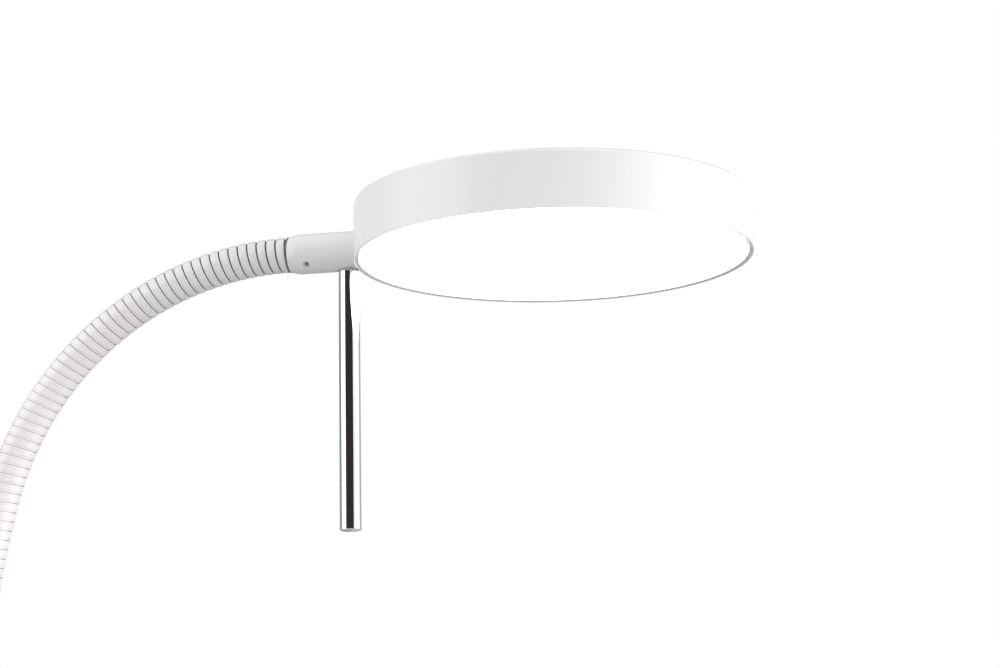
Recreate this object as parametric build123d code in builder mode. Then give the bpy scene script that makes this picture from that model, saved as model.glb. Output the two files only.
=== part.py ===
from build123d import *

import os
from math import asin, cos, degrees, radians, sin, sqrt, tan

# Examination lamp: a flat LED disc head on a gooseneck, with a chromed handle and a mounting spigot.
# Millimetres. The origin is the centre of the spigot's shoulder, +Z runs up the neck, which bends towards +X.

# ---------------------------------------------------------------- driving dimensions
HEAD_RADIUS = 110.0
HEAD_HEIGHT = 31.5
HEAD_WALL = 3.0
HEAD_TOP = 2.5
STEM_HEIGHT = 12.0  # socket axis above the head's lower rim

NECK_RADIUS = 10.0
NECK_BORE = 6.0
NECK_LENGTH = 500.0  # flexible length between the two end plugs
UPPER_BEND_RADIUS = 174.0
UPPER_BEND_TURN = 75.0
LOWER_BEND_RADIUS = 500.0
LOWER_BEND_TURN = 15.0
JOINT_COUNT = 11

SOCKET_RADIUS = 11.25
SOCKET_END = 149.8  # socket mouth, from the head's centre
SOCKET_TAPER = 4.6
TAPER_BLEND = 12.0
PLUG_FLANGE = 1.0
PLUG_RADIUS = 8.0
PLUG_LENGTH = 19.5
PLUG_GAP = 0.2  # between the socket's mouth and the plug's flange
CABLE_RADIUS = 2.0
CABLE_BORE = 2.6

HANDLE_RADIUS = 6.0
HANDLE_OFFSET = 116.1  # handle axis, from the head's centre
HANDLE_DROP = 157.5  # handle tip below the socket axis

BASE_RADIUS = 23.0
BASE_WALL = 2.5
BASE_HEIGHT = 100.0
COVER_THICKNESS = 6.0
COLLAR_RADIUS = 12.5
COLLAR_TOP = 123.0
SPIGOT_RADIUS = 8.0
SPIGOT_LENGTH = 50.0

SWIVEL_LIMIT = 135.0  # head swivel, each way, in degrees
BUTTON_TRAVEL = 1.5
FIT = 0.05  # radial clearance of a running fit
TOUCH = 0.02  # gap between faces that only meet

# ---------------------------------------------------------------- neck centreline
UPPER_ARC = UPPER_BEND_RADIUS * radians(UPPER_BEND_TURN)
LOWER_ARC = LOWER_BEND_RADIUS * radians(LOWER_BEND_TURN)
STRAIGHT = NECK_LENGTH - UPPER_ARC - LOWER_ARC
NECK_FOOT = COLLAR_TOP + PLUG_FLANGE
JOINT_PITCH = NECK_LENGTH / JOINT_COUNT


def neck_turn(s):
    """Angle of the centreline from the vertical, in radians, at arc length s."""
    if s <= STRAIGHT:
        return 0.0
    if s <= STRAIGHT + LOWER_ARC:
        return (s - STRAIGHT) / LOWER_BEND_RADIUS
    return radians(LOWER_BEND_TURN) + (s - STRAIGHT - LOWER_ARC) / UPPER_BEND_RADIUS


def arc_step(point, turn, new_turn, radius):
    """The point reached from point along an arc of that radius, as the line turns towards +X."""
    x = point[0] + radius * (cos(turn) - cos(new_turn))
    z = point[2] + radius * (sin(new_turn) - sin(turn))
    return (x, 0.0, z)


def neck_point(s):
    """Point of the centreline at arc length s."""
    point = (0.0, 0.0, NECK_FOOT + min(s, STRAIGHT))
    if s > STRAIGHT:
        turn = neck_turn(min(s, STRAIGHT + LOWER_ARC))
        point = arc_step(point, 0.0, turn, LOWER_BEND_RADIUS)
    if s > STRAIGHT + LOWER_ARC:
        point = arc_step(point, radians(LOWER_BEND_TURN), neck_turn(s), UPPER_BEND_RADIUS)
    return point


def neck_tangent(s):
    """Direction of the centreline at arc length s."""
    return (sin(neck_turn(s)), 0.0, cos(neck_turn(s)))


def cross_plane(s):
    """Plane across the neck at arc length s, with its normal along the neck."""
    turn = neck_turn(s)
    return Plane(neck_point(s), x_dir=(cos(turn), 0, -sin(turn)), z_dir=neck_tangent(s))


def long_plane(s):
    """Plane along the neck at arc length s: local x is the radius, local y runs along the neck."""
    turn = neck_turn(s)
    return Plane(neck_point(s), x_dir=(cos(turn), 0, -sin(turn)), z_dir=(0, -1, 0))


# ---------------------------------------------------------------- frames of the head and its stem
NECK_END = neck_point(NECK_LENGTH)
HEAD_X = NECK_END[0] + SOCKET_END + PLUG_GAP + PLUG_FLANGE
AXIS_Z = NECK_END[2]
HEAD_Z = AXIS_Z - STEM_HEIGHT
HEAD_CABLE_END = SOCKET_END - PLUG_LENGTH - 1
HEAD_CENTRE = (HEAD_X, 0, HEAD_Z)
HEAD_PLANE = Plane(HEAD_CENTRE)
HEAD_SECTION = Plane(HEAD_CENTRE, x_dir=(1, 0, 0), z_dir=(0, -1, 0))
HEAD_AXIS = Axis(HEAD_CENTRE, (0, 0, 1))
STEM_SECTION = Plane((HEAD_X, 0, AXIS_Z), x_dir=(-1, 0, 0), z_dir=(0, 1, 0))
STEM_AXIS = Axis((HEAD_X, 0, AXIS_Z), (-1, 0, 0))
BASE_SECTION = Plane.XZ
BASE_INNER = BASE_RADIUS - BASE_WALL


def stem_plane(reach):
    """Plane across the socket's axis at that distance from the head's centre, facing the neck."""
    return Plane((HEAD_X - reach, 0, AXIS_Z), x_dir=(0, -1, 0), z_dir=(-1, 0, 0))


def save(piece, label):
    """Labels a finished piece and writes it as one STEP file."""
    piece.part.label = label
    export_step(piece.part, f"parts/{label}.step")


def turned(section, axis, points, mode=Mode.ADD):
    """Adds or cuts a turned solid in the current part: points on section, revolved about axis."""
    with BuildSketch(section) as outline:
        with BuildLine():
            Polyline(*points, close=True)
        make_face()
    revolve(outline.sketch, axis=axis, mode=mode)


def cut_round(plane, radius, depth):
    """Cuts a round hole into the current part, from plane along its normal."""
    with BuildSketch(plane) as hole:
        Circle(radius)
    extrude(hole.sketch, amount=depth, mode=Mode.SUBTRACT)


# ---------------------------------------------------------------- gooseneck
BALL_RADIUS = 8.9
CUP_RADIUS = 9.2
CUP_LENGTH = 8.0
SHOULDER = 4.9  # below the joint's centre, clear of the next link's lip at the joint's limit
BALL_LENGTH = 6.5
CUP_MIDDLE = radians(25)  # where the cup's profile passes, from its rim
CABLE_GAP = 1.2
STRAIGHT_SPARE = 0.5


def joint_station(number):
    """Arc length of a joint's centre. Joints sit half a pitch in from the neck's ends."""
    return (number - 0.5) * JOINT_PITCH


def link_span(number):
    """Arc lengths at which a link starts and ends: 1 stands in the base, the last one carries the head."""
    start = 0.0 if number == 1 else joint_station(number - 1)
    end = NECK_LENGTH if number == JOINT_COUNT + 1 else joint_station(number)
    return start, end


def along_neck(s, distance):
    """Point at that distance along the neck's tangent at arc length s, as x and z."""
    x, _, z = neck_point(s)
    return (x + distance * sin(neck_turn(s)), z + distance * cos(neck_turn(s)))


def link_line(number, start_gap, end_gap):
    """Adds a link's centreline, shortened at both ends: straight runs through the joints, an arc between."""
    start, end = link_span(number)
    first = along_neck(start, start_gap)
    last = along_neck(end, -end_gap)
    turn = neck_turn(end) - neck_turn(start)
    if turn < 1e-6:
        Line(first, last)
        return
    # The runs meet at a corner, at these distances from the link's two ends.
    x, z = (q - p for p, q in zip(along_neck(start, 0), along_neck(end, 0)))
    to_start = (x * cos(neck_turn(end)) - z * sin(neck_turn(end))) / sin(-turn)
    to_end = (x * cos(neck_turn(start)) - z * sin(neck_turn(start))) / sin(turn)
    cut_back = min(to_start - CUP_LENGTH, to_end - BALL_LENGTH) - STRAIGHT_SPARE
    corner = along_neck(start, to_start)
    FilletPolyline(first, corner, last, radius=cut_back / tan(turn / 2))


def cup(s):
    """Adds the hollow lower end of a link, which laps over the ball of the link below."""
    depth = sqrt(CUP_RADIUS**2 - NECK_BORE**2)
    middle = (CUP_RADIUS * cos(CUP_MIDDLE), CUP_RADIUS * sin(CUP_MIDDLE))
    with BuildSketch(long_plane(s)) as profile:
        with BuildLine():
            ThreePointArc((CUP_RADIUS, 0), middle, (NECK_BORE, depth))
            Polyline(
                (NECK_BORE, depth),
                (NECK_BORE, CUP_LENGTH),
                (NECK_RADIUS, CUP_LENGTH),
                (NECK_RADIUS, 0),
                (CUP_RADIUS, 0),
            )
        make_face()
    revolve(profile.sketch, axis=Axis(neck_point(s), neck_tangent(s)))


def ball(s):
    """Adds the rounded upper end of a link."""
    top = sqrt(BALL_RADIUS**2 - NECK_BORE**2)
    throat = sqrt(BALL_RADIUS**2 - SHOULDER**2)
    with BuildSketch(long_plane(s)) as profile:
        with BuildLine():
            ThreePointArc((NECK_BORE, top), (BALL_RADIUS, 0), (throat, -SHOULDER))
            Polyline(
                (throat, -SHOULDER),
                (NECK_RADIUS, -SHOULDER),
                (NECK_RADIUS, -BALL_LENGTH),
                (NECK_BORE, -BALL_LENGTH),
                (NECK_BORE, top),
            )
        make_face()
    revolve(profile.sketch, axis=Axis(neck_point(s), neck_tangent(s)))


def neck_segment(number):
    """One link of the gooseneck: a length of tube with a cup below and a ball above."""
    start, end = link_span(number)
    start_gap = 0 if number == 1 else CUP_LENGTH
    end_gap = 0 if number == JOINT_COUNT + 1 else BALL_LENGTH
    with BuildPart() as segment:
        with BuildLine(Plane.XZ) as path:
            link_line(number, start_gap, end_gap)
        with BuildSketch(cross_plane(start).offset(start_gap)) as ring:
            Circle(NECK_RADIUS)
            Circle(NECK_BORE, mode=Mode.SUBTRACT)
        sweep(ring.sketch, path=path.line)
        if number > 1:
            cup(start)
        if number <= JOINT_COUNT:
            ball(end)
    save(segment, f"neck_segment_{number:02d}")


def neck_cable(number):
    """The length of lamp cable inside one link, short of the joints at both ends."""
    start, _ = link_span(number)
    start_gap = 0 if number == 1 else CABLE_GAP
    through_plug = NECK_END[0] + HEAD_CABLE_END + CABLE_GAP / 2 - HEAD_X
    end_gap = through_plug if number == JOINT_COUNT + 1 else CABLE_GAP
    with BuildPart() as cable:
        with BuildLine(Plane.XZ) as path:
            link_line(number, start_gap, end_gap)
        with BuildSketch(cross_plane(start).offset(start_gap)) as core:
            Circle(CABLE_RADIUS)
        sweep(core.sketch, path=path.line)
    save(cable, f"neck_cable_{number:02d}")


# ---------------------------------------------------------------- end plugs of the neck
PLUG_TENON = 8.0
PLUG_TENON_RADIUS = 5.75
GRUB_RADIUS = 2.0
GRUB_REACH = 138.7  # upper grub screw, from the head's centre
GRUB_TILT = 45.0  # below the horizontal, on the -Y side
DOG_RADIUS = 1.4
GROOVE_RADIUS = 6.4
GROOVE_WIDTH = 3.2
GROOVE_SPARE = 3.0  # degrees of free groove beyond the dog at the swivel's limits
GROOVE_ARC = 2 * (SWIVEL_LIMIT + degrees(asin(DOG_RADIUS / PLUG_RADIUS)) + GROOVE_SPARE)
KEY_RADIUS = 1.1
KEY_DEPTH = 1.8
PLUG_CHAMFER = 0.6


def upper_neck_plug():
    """Turned plug crimped in the neck's upper end. Its groove is the track of the socket's grub screw."""
    flange_start = SOCKET_END + PLUG_GAP
    flange_end = flange_start + PLUG_FLANGE
    inner = SOCKET_END - PLUG_LENGTH
    with BuildPart() as plug:
        turned(
            STEM_SECTION,
            STEM_AXIS,
            [
                (inner, CABLE_BORE),
                (inner, PLUG_RADIUS - PLUG_CHAMFER),
                (inner + PLUG_CHAMFER, PLUG_RADIUS),
                (flange_start, PLUG_RADIUS),
                (flange_start, NECK_RADIUS),
                (flange_end, NECK_RADIUS),
                (flange_end, PLUG_TENON_RADIUS),
                (flange_end + PLUG_TENON, PLUG_TENON_RADIUS),
                (flange_end + PLUG_TENON, CABLE_BORE + 0.6),
                (flange_end, CABLE_BORE),
            ],
        )
        with BuildSketch(STEM_SECTION) as track:
            with Locations((GRUB_REACH, (GROOVE_RADIUS + PLUG_RADIUS + 1) / 2)):
                Rectangle(GROOVE_WIDTH, PLUG_RADIUS + 1 - GROOVE_RADIUS)
        first = 90.0 + GRUB_TILT - GROOVE_ARC / 2
        start = track.sketch.rotate(STEM_AXIS, -first)
        revolve(start, axis=STEM_AXIS, revolution_arc=-GROOVE_ARC, mode=Mode.SUBTRACT)
    save(plug, "upper_neck_plug")


def lower_neck_plug():
    """Turned plug crimped in the neck's lower end and clamped in the base's collar."""
    inner = COLLAR_TOP - PLUG_LENGTH
    with BuildPart() as plug:
        turned(
            BASE_SECTION,
            Axis.Z,
            [
                (CABLE_BORE, inner),
                (PLUG_RADIUS - PLUG_CHAMFER, inner),
                (PLUG_RADIUS, inner + PLUG_CHAMFER),
                (PLUG_RADIUS, COLLAR_TOP),
                (NECK_RADIUS, COLLAR_TOP),
                (NECK_RADIUS, NECK_FOOT),
                (PLUG_TENON_RADIUS, NECK_FOOT),
                (PLUG_TENON_RADIUS, NECK_FOOT + PLUG_TENON),
                (CABLE_BORE, NECK_FOOT + PLUG_TENON),
            ],
        )
    save(plug, "lower_neck_plug")


def grub_screw(plane, outer, inner, tip, label):
    """A grub screw on plane, whose normal points out; outer, inner and tip are distances from the axis."""
    with BuildPart() as screw:
        with BuildSketch(plane.offset(inner)) as thread:
            Circle(GRUB_RADIUS - TOUCH)
        extrude(thread.sketch, amount=outer - inner)
        if tip < inner:
            with BuildSketch(plane.offset(tip)) as dog:
                Circle(DOG_RADIUS)
            extrude(dog.sketch, amount=inner - tip)
        with BuildSketch(plane.offset(outer)) as key:
            RegularPolygon(KEY_RADIUS, 6)
        extrude(key.sketch, amount=-KEY_DEPTH, mode=Mode.SUBTRACT)
    save(screw, label)


GRUB_PLANE = Plane(
    (HEAD_X - GRUB_REACH, 0, AXIS_Z),
    x_dir=(1, 0, 0),
    z_dir=(0, -cos(radians(GRUB_TILT)), -sin(radians(GRUB_TILT))),
)
LOWER_GRUB_PLANE = Plane((0, 0, COLLAR_TOP - 10), x_dir=(1, 0, 0), z_dir=(0, -1, 0))

# ---------------------------------------------------------------- head socket and handle
BOLT_RADIUS = 5.0
BOLT_HEAD_RADIUS = 7.3
BOLT_END = 124.0
SOCKET_FLOOR = 127.0
STUD_RADIUS = 3.0
STUD_TOP = 6.6  # below the socket axis
STUD_DEPTH = 9.0
SEAT_DROP = 10.95  # the handle's flat seat, below the socket axis
HANDLE_TOP_CHAMFER = 1.2
HANDLE_TOP_PLANE = Plane((HEAD_X - HANDLE_OFFSET, 0, AXIS_Z), x_dir=(1, 0, 0), z_dir=(0, 0, -1))


def head_socket():
    """White socket from the neck's plug to the head's wall, coped to the wall, with a flat for the handle."""
    with BuildPart() as socket:
        turned(
            STEM_SECTION,
            STEM_AXIS,
            [
                (HEAD_RADIUS - 3, BOLT_RADIUS),
                (HEAD_RADIUS - 3, SOCKET_RADIUS),
                (SOCKET_END - SOCKET_TAPER, SOCKET_RADIUS),
                (SOCKET_END, NECK_RADIUS + 0.1),
                (SOCKET_END, PLUG_RADIUS + FIT),
                (SOCKET_FLOOR, PLUG_RADIUS + FIT),
                (SOCKET_FLOOR, BOLT_RADIUS),
            ],
        )
        circles = socket.edges().filter_by(GeomType.CIRCLE)
        widest = circles.filter_by(lambda e: abs(e.radius - SOCKET_RADIUS) < FIT)
        fillet(widest.sort_by(Axis.X)[0], TAPER_BLEND)
        with BuildSketch(HEAD_PLANE.offset(-5)) as wall:
            Circle(HEAD_RADIUS + TOUCH)
        extrude(wall.sketch, amount=HEAD_HEIGHT + 10, mode=Mode.SUBTRACT)
        cut_round(GRUB_PLANE.offset(PLUG_RADIUS - 1), GRUB_RADIUS, SOCKET_RADIUS)
        cut_round(HANDLE_TOP_PLANE.offset(STUD_TOP - 0.3), STUD_RADIUS, SOCKET_RADIUS)
        cut_round(HANDLE_TOP_PLANE.offset(SEAT_DROP), HANDLE_RADIUS + 0.3, SOCKET_RADIUS)
    save(socket, "head_socket")


def socket_bolt():
    """Hollow bolt that clamps the socket to the head's wall from inside. The lamp cable runs through it."""
    head_face = HEAD_RADIUS - HEAD_WALL - 1.6
    with BuildPart() as bolt:
        turned(
            STEM_SECTION,
            STEM_AXIS,
            [
                (head_face - 2.6, CABLE_BORE),
                (head_face - 2.6, BOLT_HEAD_RADIUS),
                (head_face, BOLT_HEAD_RADIUS),
                (head_face, BOLT_RADIUS - TOUCH),
                (BOLT_END, BOLT_RADIUS - TOUCH),
                (BOLT_END, CABLE_BORE),
            ],
        )
    save(bolt, "socket_bolt")


def socket_washer():
    """Flat washer under the hollow bolt's head."""
    outer_face = HEAD_RADIUS - HEAD_WALL - 0.35
    with BuildPart() as washer:
        turned(
            STEM_SECTION,
            STEM_AXIS,
            [
                (outer_face - 1.2, BOLT_RADIUS + 0.2),
                (outer_face - 1.2, BOLT_HEAD_RADIUS),
                (outer_face, BOLT_HEAD_RADIUS),
                (outer_face, BOLT_RADIUS + 0.2),
            ],
        )
    save(washer, "socket_washer")


def handle_rod():
    """Chromed round bar, seated on the flat of the socket's underside, with a tapped hole in its top."""
    with BuildPart() as rod:
        with BuildSketch(HANDLE_TOP_PLANE.offset(SEAT_DROP + TOUCH)) as bar:
            Circle(HANDLE_RADIUS)
        extrude(bar.sketch, amount=HANDLE_DROP - SEAT_DROP - TOUCH)
        ends = rod.faces().sort_by(Axis.Z)
        chamfer(ends[0].edges(), 0.7)
        chamfer(ends[-1].edges(), HANDLE_TOP_CHAMFER)
        cut_round(HANDLE_TOP_PLANE, STUD_RADIUS, SOCKET_RADIUS + STUD_DEPTH)
    save(rod, "handle_rod")


def handle_stud():
    """Threaded stud that joins the handle to the socket."""
    with BuildPart() as stud:
        with BuildSketch(HANDLE_TOP_PLANE.offset(STUD_TOP)) as thread:
            Circle(STUD_RADIUS - TOUCH)
        extrude(thread.sketch, amount=SOCKET_RADIUS + STUD_DEPTH - STUD_TOP - 0.5)
        chamfer(stud.edges().filter_by(GeomType.CIRCLE), 0.5)
    save(stud, "handle_stud")


# ---------------------------------------------------------------- head
POST_CIRCLE = 100.0
POST_RADIUS = 3.5
POST_FOOT = 8.0
BOARD_RADIUS = 86.0
BOARD_TOP = 26.0
BOARD_THICKNESS = 1.6
BOSS_CIRCLE = 62.0
BOSS_COUNT = 6
BOSS_RADIUS = 4.0
SCREW_RADIUS = 1.5
PAN_RADIUS = 2.8
PAN_HEIGHT = 1.8
PAN_KEY_RADIUS = 1.2
PAN_KEY_DEPTH = 1.1
LUG_RADIUS = 5.0
LUG_THICKNESS = 1.6
RIM_LIP = 0.6  # width of the wall's flat lower edge
RIM_BEVEL = 0.7  # height of the bevel from the lip to the rebate
REBATE_RADIUS = 108.0  # of the rebate in the wall that takes the diffuser
DIFFUSER_BOTTOM = RIM_BEVEL
DIFFUSER_THICKNESS = 3.0
DIFFUSER_GAP = 0.5  # between the diffuser and the wall
SEAL_SETBACK = 0.2  # of the seal from the diffuser's face
CHIP_PITCH = 17.0
CHIP_RINGS = 4
CHIP_SIZE = 3.2
HEAD_ROOF = HEAD_HEIGHT - HEAD_TOP
HEAD_INNER = HEAD_RADIUS - HEAD_WALL
CARRIER_TOP = POST_FOOT
CARRIER_FOOT = DIFFUSER_BOTTOM + DIFFUSER_THICKNESS
DIFFUSER_RADIUS = REBATE_RADIUS - DIFFUSER_GAP


def head_housing():
    """Shallow white drum, open below, with a rim bevelled inwards, and posts and bosses for its insides."""
    with BuildPart() as housing:
        with BuildSketch(HEAD_PLANE) as disc:
            Circle(HEAD_RADIUS)
        extrude(disc.sketch, amount=HEAD_HEIGHT)
        fillet(housing.edges().sort_by(Axis.Z)[-1], 1.6)
        with BuildSketch(HEAD_PLANE) as cavity:
            Circle(HEAD_INNER)
        extrude(cavity.sketch, amount=HEAD_ROOF, mode=Mode.SUBTRACT)
        lip = HEAD_RADIUS - RIM_LIP
        turned(
            HEAD_SECTION,
            HEAD_AXIS,
            [
                (HEAD_INNER - 1, -1),
                (lip, -1),
                (lip, 0),
                (REBATE_RADIUS, RIM_BEVEL),
                (REBATE_RADIUS, CARRIER_FOOT),
                (HEAD_INNER - 1, CARRIER_FOOT),
            ],
            mode=Mode.SUBTRACT,
        )
        chamfer(housing.edges().sort_by(Axis.Z)[:2].sort_by(SortBy.RADIUS)[-1], 0.2)
        with BuildSketch(HEAD_PLANE.offset(POST_FOOT)) as posts:
            with PolarLocations(POST_CIRCLE, 4, start_angle=45):
                Circle(POST_RADIUS)
        extrude(posts.sketch, amount=HEAD_ROOF - POST_FOOT)
        with BuildSketch(HEAD_PLANE.offset(BOARD_TOP)) as bosses:
            with PolarLocations(BOSS_CIRCLE, BOSS_COUNT):
                Circle(BOSS_RADIUS)
        extrude(bosses.sketch, amount=HEAD_ROOF - BOARD_TOP)
        with BuildSketch(HEAD_PLANE.offset(POST_FOOT)) as post_holes:
            with PolarLocations(POST_CIRCLE, 4, start_angle=45):
                Circle(SCREW_RADIUS)
        extrude(post_holes.sketch, amount=12, mode=Mode.SUBTRACT)
        with BuildSketch(HEAD_PLANE.offset(BOARD_TOP)) as boss_holes:
            with PolarLocations(BOSS_CIRCLE, BOSS_COUNT):
                Circle(SCREW_RADIUS)
        extrude(boss_holes.sketch, amount=4, mode=Mode.SUBTRACT)
        cut_round(stem_plane(HEAD_INNER - 5), BOLT_RADIUS + 0.1, 12)
    save(housing, "head_housing")


def heat_spreader():
    """Aluminium disc between the LED board and the housing's roof."""
    with BuildPart() as spreader:
        with BuildSketch(HEAD_PLANE.offset(BOARD_TOP + TOUCH)) as disc:
            Circle(BOARD_RADIUS)
            with PolarLocations(BOSS_CIRCLE, BOSS_COUNT):
                Circle(BOSS_RADIUS + 0.4, mode=Mode.SUBTRACT)
        extrude(disc.sketch, amount=HEAD_ROOF - BOARD_TOP - 2 * TOUCH)
    save(spreader, "heat_spreader")


def led_board():
    """Round metal-core board that carries the LEDs on its underside."""
    with BuildPart() as board:
        with BuildSketch(HEAD_PLANE.offset(BOARD_TOP)) as disc:
            Circle(BOARD_RADIUS)
            with PolarLocations(BOSS_CIRCLE, BOSS_COUNT):
                Circle(SCREW_RADIUS + 0.1, mode=Mode.SUBTRACT)
        extrude(disc.sketch, amount=-BOARD_THICKNESS)
    save(board, "led_board")


def led_chips():
    """The LEDs: one in the middle and rings of six more each, turned clear of the board's screws."""
    with BuildPart() as chips:
        with BuildSketch(HEAD_PLANE.offset(BOARD_TOP - BOARD_THICKNESS)) as grid:
            Rectangle(CHIP_SIZE, CHIP_SIZE)
            for ring in range(1, CHIP_RINGS + 1):
                with PolarLocations(ring * CHIP_PITCH, 6 * ring, start_angle=15):
                    Rectangle(CHIP_SIZE, CHIP_SIZE)
        extrude(grid.sketch, amount=-0.9)
    save(chips, "led_chips")


def pan_screws(plane, circle, count, start_angle, length, label):
    """A ring of pan-head screws. plane is the face under their heads, and they run up from it."""
    with BuildPart() as screws:
        with BuildSketch(plane) as heads:
            with PolarLocations(circle, count, start_angle=start_angle):
                Circle(PAN_RADIUS)
        extrude(heads.sketch, amount=-PAN_HEIGHT)
        with BuildSketch(plane) as shanks:
            with PolarLocations(circle, count, start_angle=start_angle):
                Circle(SCREW_RADIUS - TOUCH)
        extrude(shanks.sketch, amount=length)
        with BuildSketch(plane.offset(-PAN_HEIGHT)) as keys:
            with PolarLocations(circle, count, start_angle=start_angle):
                RegularPolygon(PAN_KEY_RADIUS, 6)
        extrude(keys.sketch, amount=PAN_KEY_DEPTH, mode=Mode.SUBTRACT)
    save(screws, label)


def board_connector():
    """Plug-in connector at the LED board's edge, open towards the socket."""
    with BuildPart() as connector:
        with BuildSketch(HEAD_PLANE.offset(BOARD_TOP - BOARD_THICKNESS)) as shell:
            with Locations((-80, 0)):
                Rectangle(8, 9)
        extrude(shell.sketch, amount=-6)
    save(connector, "board_connector")


def head_cable():
    """Cable from the socket through the hollow bolt, up past the board's edge and into the connector."""
    low = 0.0
    high = BOARD_TOP - BOARD_THICKNESS - 3.6 - STEM_HEIGHT
    with BuildPart() as cable:
        with BuildLine(STEM_SECTION) as path:
            FilletPolyline(
                (HEAD_CABLE_END, low),
                (97, low),
                (90, high),
                (84, high),
                radius=6.0,
            )
        with BuildSketch(stem_plane(HEAD_CABLE_END)) as core:
            Circle(CABLE_RADIUS)
        sweep(core.sketch, path=path.line)
    save(cable, "head_cable")


def reflector():
    """White conical reflector round the LED board, notched for the posts and slotted for the cable."""
    foot = CARRIER_TOP + 0.1
    top = BOARD_TOP - BOARD_THICKNESS - TOUCH
    with BuildPart() as cone:
        turned(
            HEAD_SECTION,
            HEAD_AXIS,
            [
                (101.0, foot),
                (102.0, foot),
                (BOARD_RADIUS + 1.5, top),
                (BOARD_RADIUS - 1.4, top),
                (BOARD_RADIUS - 1.4, top - 1),
                (BOARD_RADIUS + 0.9, top - 1),
            ],
        )
        with BuildSketch(HEAD_PLANE.offset(foot)) as notches:
            with PolarLocations(POST_CIRCLE, 4, start_angle=45):
                Circle(POST_RADIUS + 0.4)
            with Locations((-BOARD_RADIUS - 10, 0)):
                Rectangle(20, 8)
        extrude(notches.sketch, amount=top - 1.2 - foot, mode=Mode.SUBTRACT)
    save(cone, "reflector")


def diffuser_carrier():
    """White ring that holds the diffuser, screwed to the housing's four posts and open behind the bolt."""
    with BuildPart() as carrier:
        with BuildSketch(HEAD_PLANE.offset(CARRIER_FOOT)) as ring:
            Circle(HEAD_INNER - 0.3)
            Circle(HEAD_INNER - 4.5, mode=Mode.SUBTRACT)
        extrude(ring.sketch, amount=CARRIER_TOP - CARRIER_FOOT)
        with BuildSketch(HEAD_PLANE.offset(CARRIER_TOP)) as lugs:
            with PolarLocations(POST_CIRCLE, 4, start_angle=45):
                Circle(LUG_RADIUS)
        extrude(lugs.sketch, amount=-LUG_THICKNESS)
        with BuildSketch(HEAD_PLANE.offset(CARRIER_TOP)) as holes:
            with PolarLocations(POST_CIRCLE, 4, start_angle=45):
                Circle(SCREW_RADIUS + 0.1)
        extrude(holes.sketch, amount=-5, mode=Mode.SUBTRACT)
        with BuildSketch(HEAD_PLANE.offset(CARRIER_TOP - LUG_THICKNESS)) as seats:
            with PolarLocations(POST_CIRCLE, 4, start_angle=45):
                Circle(PAN_RADIUS + 0.4)
        extrude(seats.sketch, amount=-5, mode=Mode.SUBTRACT)
        with BuildSketch(HEAD_PLANE.offset(CARRIER_FOOT)) as gap:
            with Locations((-HEAD_INNER, 0)):
                Rectangle(20, 18)
        extrude(gap.sketch, amount=10, mode=Mode.SUBTRACT)
    save(carrier, "diffuser_carrier")


def diffuser():
    """Opal acrylic disc, set in the wall's rebate."""
    with BuildPart() as disc:
        with BuildSketch(HEAD_PLANE.offset(DIFFUSER_BOTTOM)) as outline:
            Circle(DIFFUSER_RADIUS)
        extrude(outline.sketch, amount=DIFFUSER_THICKNESS - TOUCH)
        chamfer(disc.faces().sort_by(Axis.Z)[0].edges(), 0.15)
    save(disc, "diffuser")


def diffuser_seal():
    """Silicone seal in the gap between the diffuser and the rebate."""
    with BuildPart() as seal:
        with BuildSketch(HEAD_PLANE.offset(DIFFUSER_BOTTOM + SEAL_SETBACK)) as ring:
            Circle(REBATE_RADIUS - TOUCH)
            Circle(DIFFUSER_RADIUS + TOUCH, mode=Mode.SUBTRACT)
        extrude(ring.sketch, amount=DIFFUSER_THICKNESS - SEAL_SETBACK - TOUCH)
    save(seal, "diffuser_seal")


# ---------------------------------------------------------------- base
COVER_SCREW_CIRCLE = 17.3
REGISTER_TOP = 8.0
CABLE_HOLE = 5.0
BUTTON_HEIGHT = 60.0
BUTTON_RADIUS = 7.0
BEZEL_RADIUS = 8.5
PAD_RADIUS = 11.0
PAD_FACE = 23.5
GLAND_HEIGHT = 24.0
GLAND_PAD = 25.0
GLAND_THREAD = 6.0
LEAD_BORE = 3.2
BOARD_WIDTH = 34.0
BOARD_FACE = 3.2  # the driver board's component side, along Y
BOARD_FOOT = 35.0
BOARD_HEIGHT = 56.0
TERMINAL_FOOT = 76.0
TERMINAL_HEIGHT = 9.0
CABLE_FOOT = 80.0
SLEEVE_DEPTH = 19.5  # the bezel's inner end, from the base's axis
BEZEL_FLANGE = 1.0
BEZEL_FLANGE_RADIUS = 10.0
SWITCH_FACE = 3.8
STEM_RADIUS = 1.9
WELL_FLOOR = -0.2  # of the switch body's well, from the base's axis
NUT_FLATS = 8.0  # half the width across the flats
STUD_THREAD = 5.0
STUD_LENGTH = 16.0
GLAND_PAD_RADIUS = 9.5
GLAND_HEX = 5.0  # thickness of the gland's hexagon
FRONT = Plane((0, 0, BUTTON_HEIGHT), x_dir=(1, 0, 0), z_dir=(0, -1, 0))
REAR = Plane((0, 0, GLAND_HEIGHT), x_dir=(0, 1, 0), z_dir=(-1, 0, 0))


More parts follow.
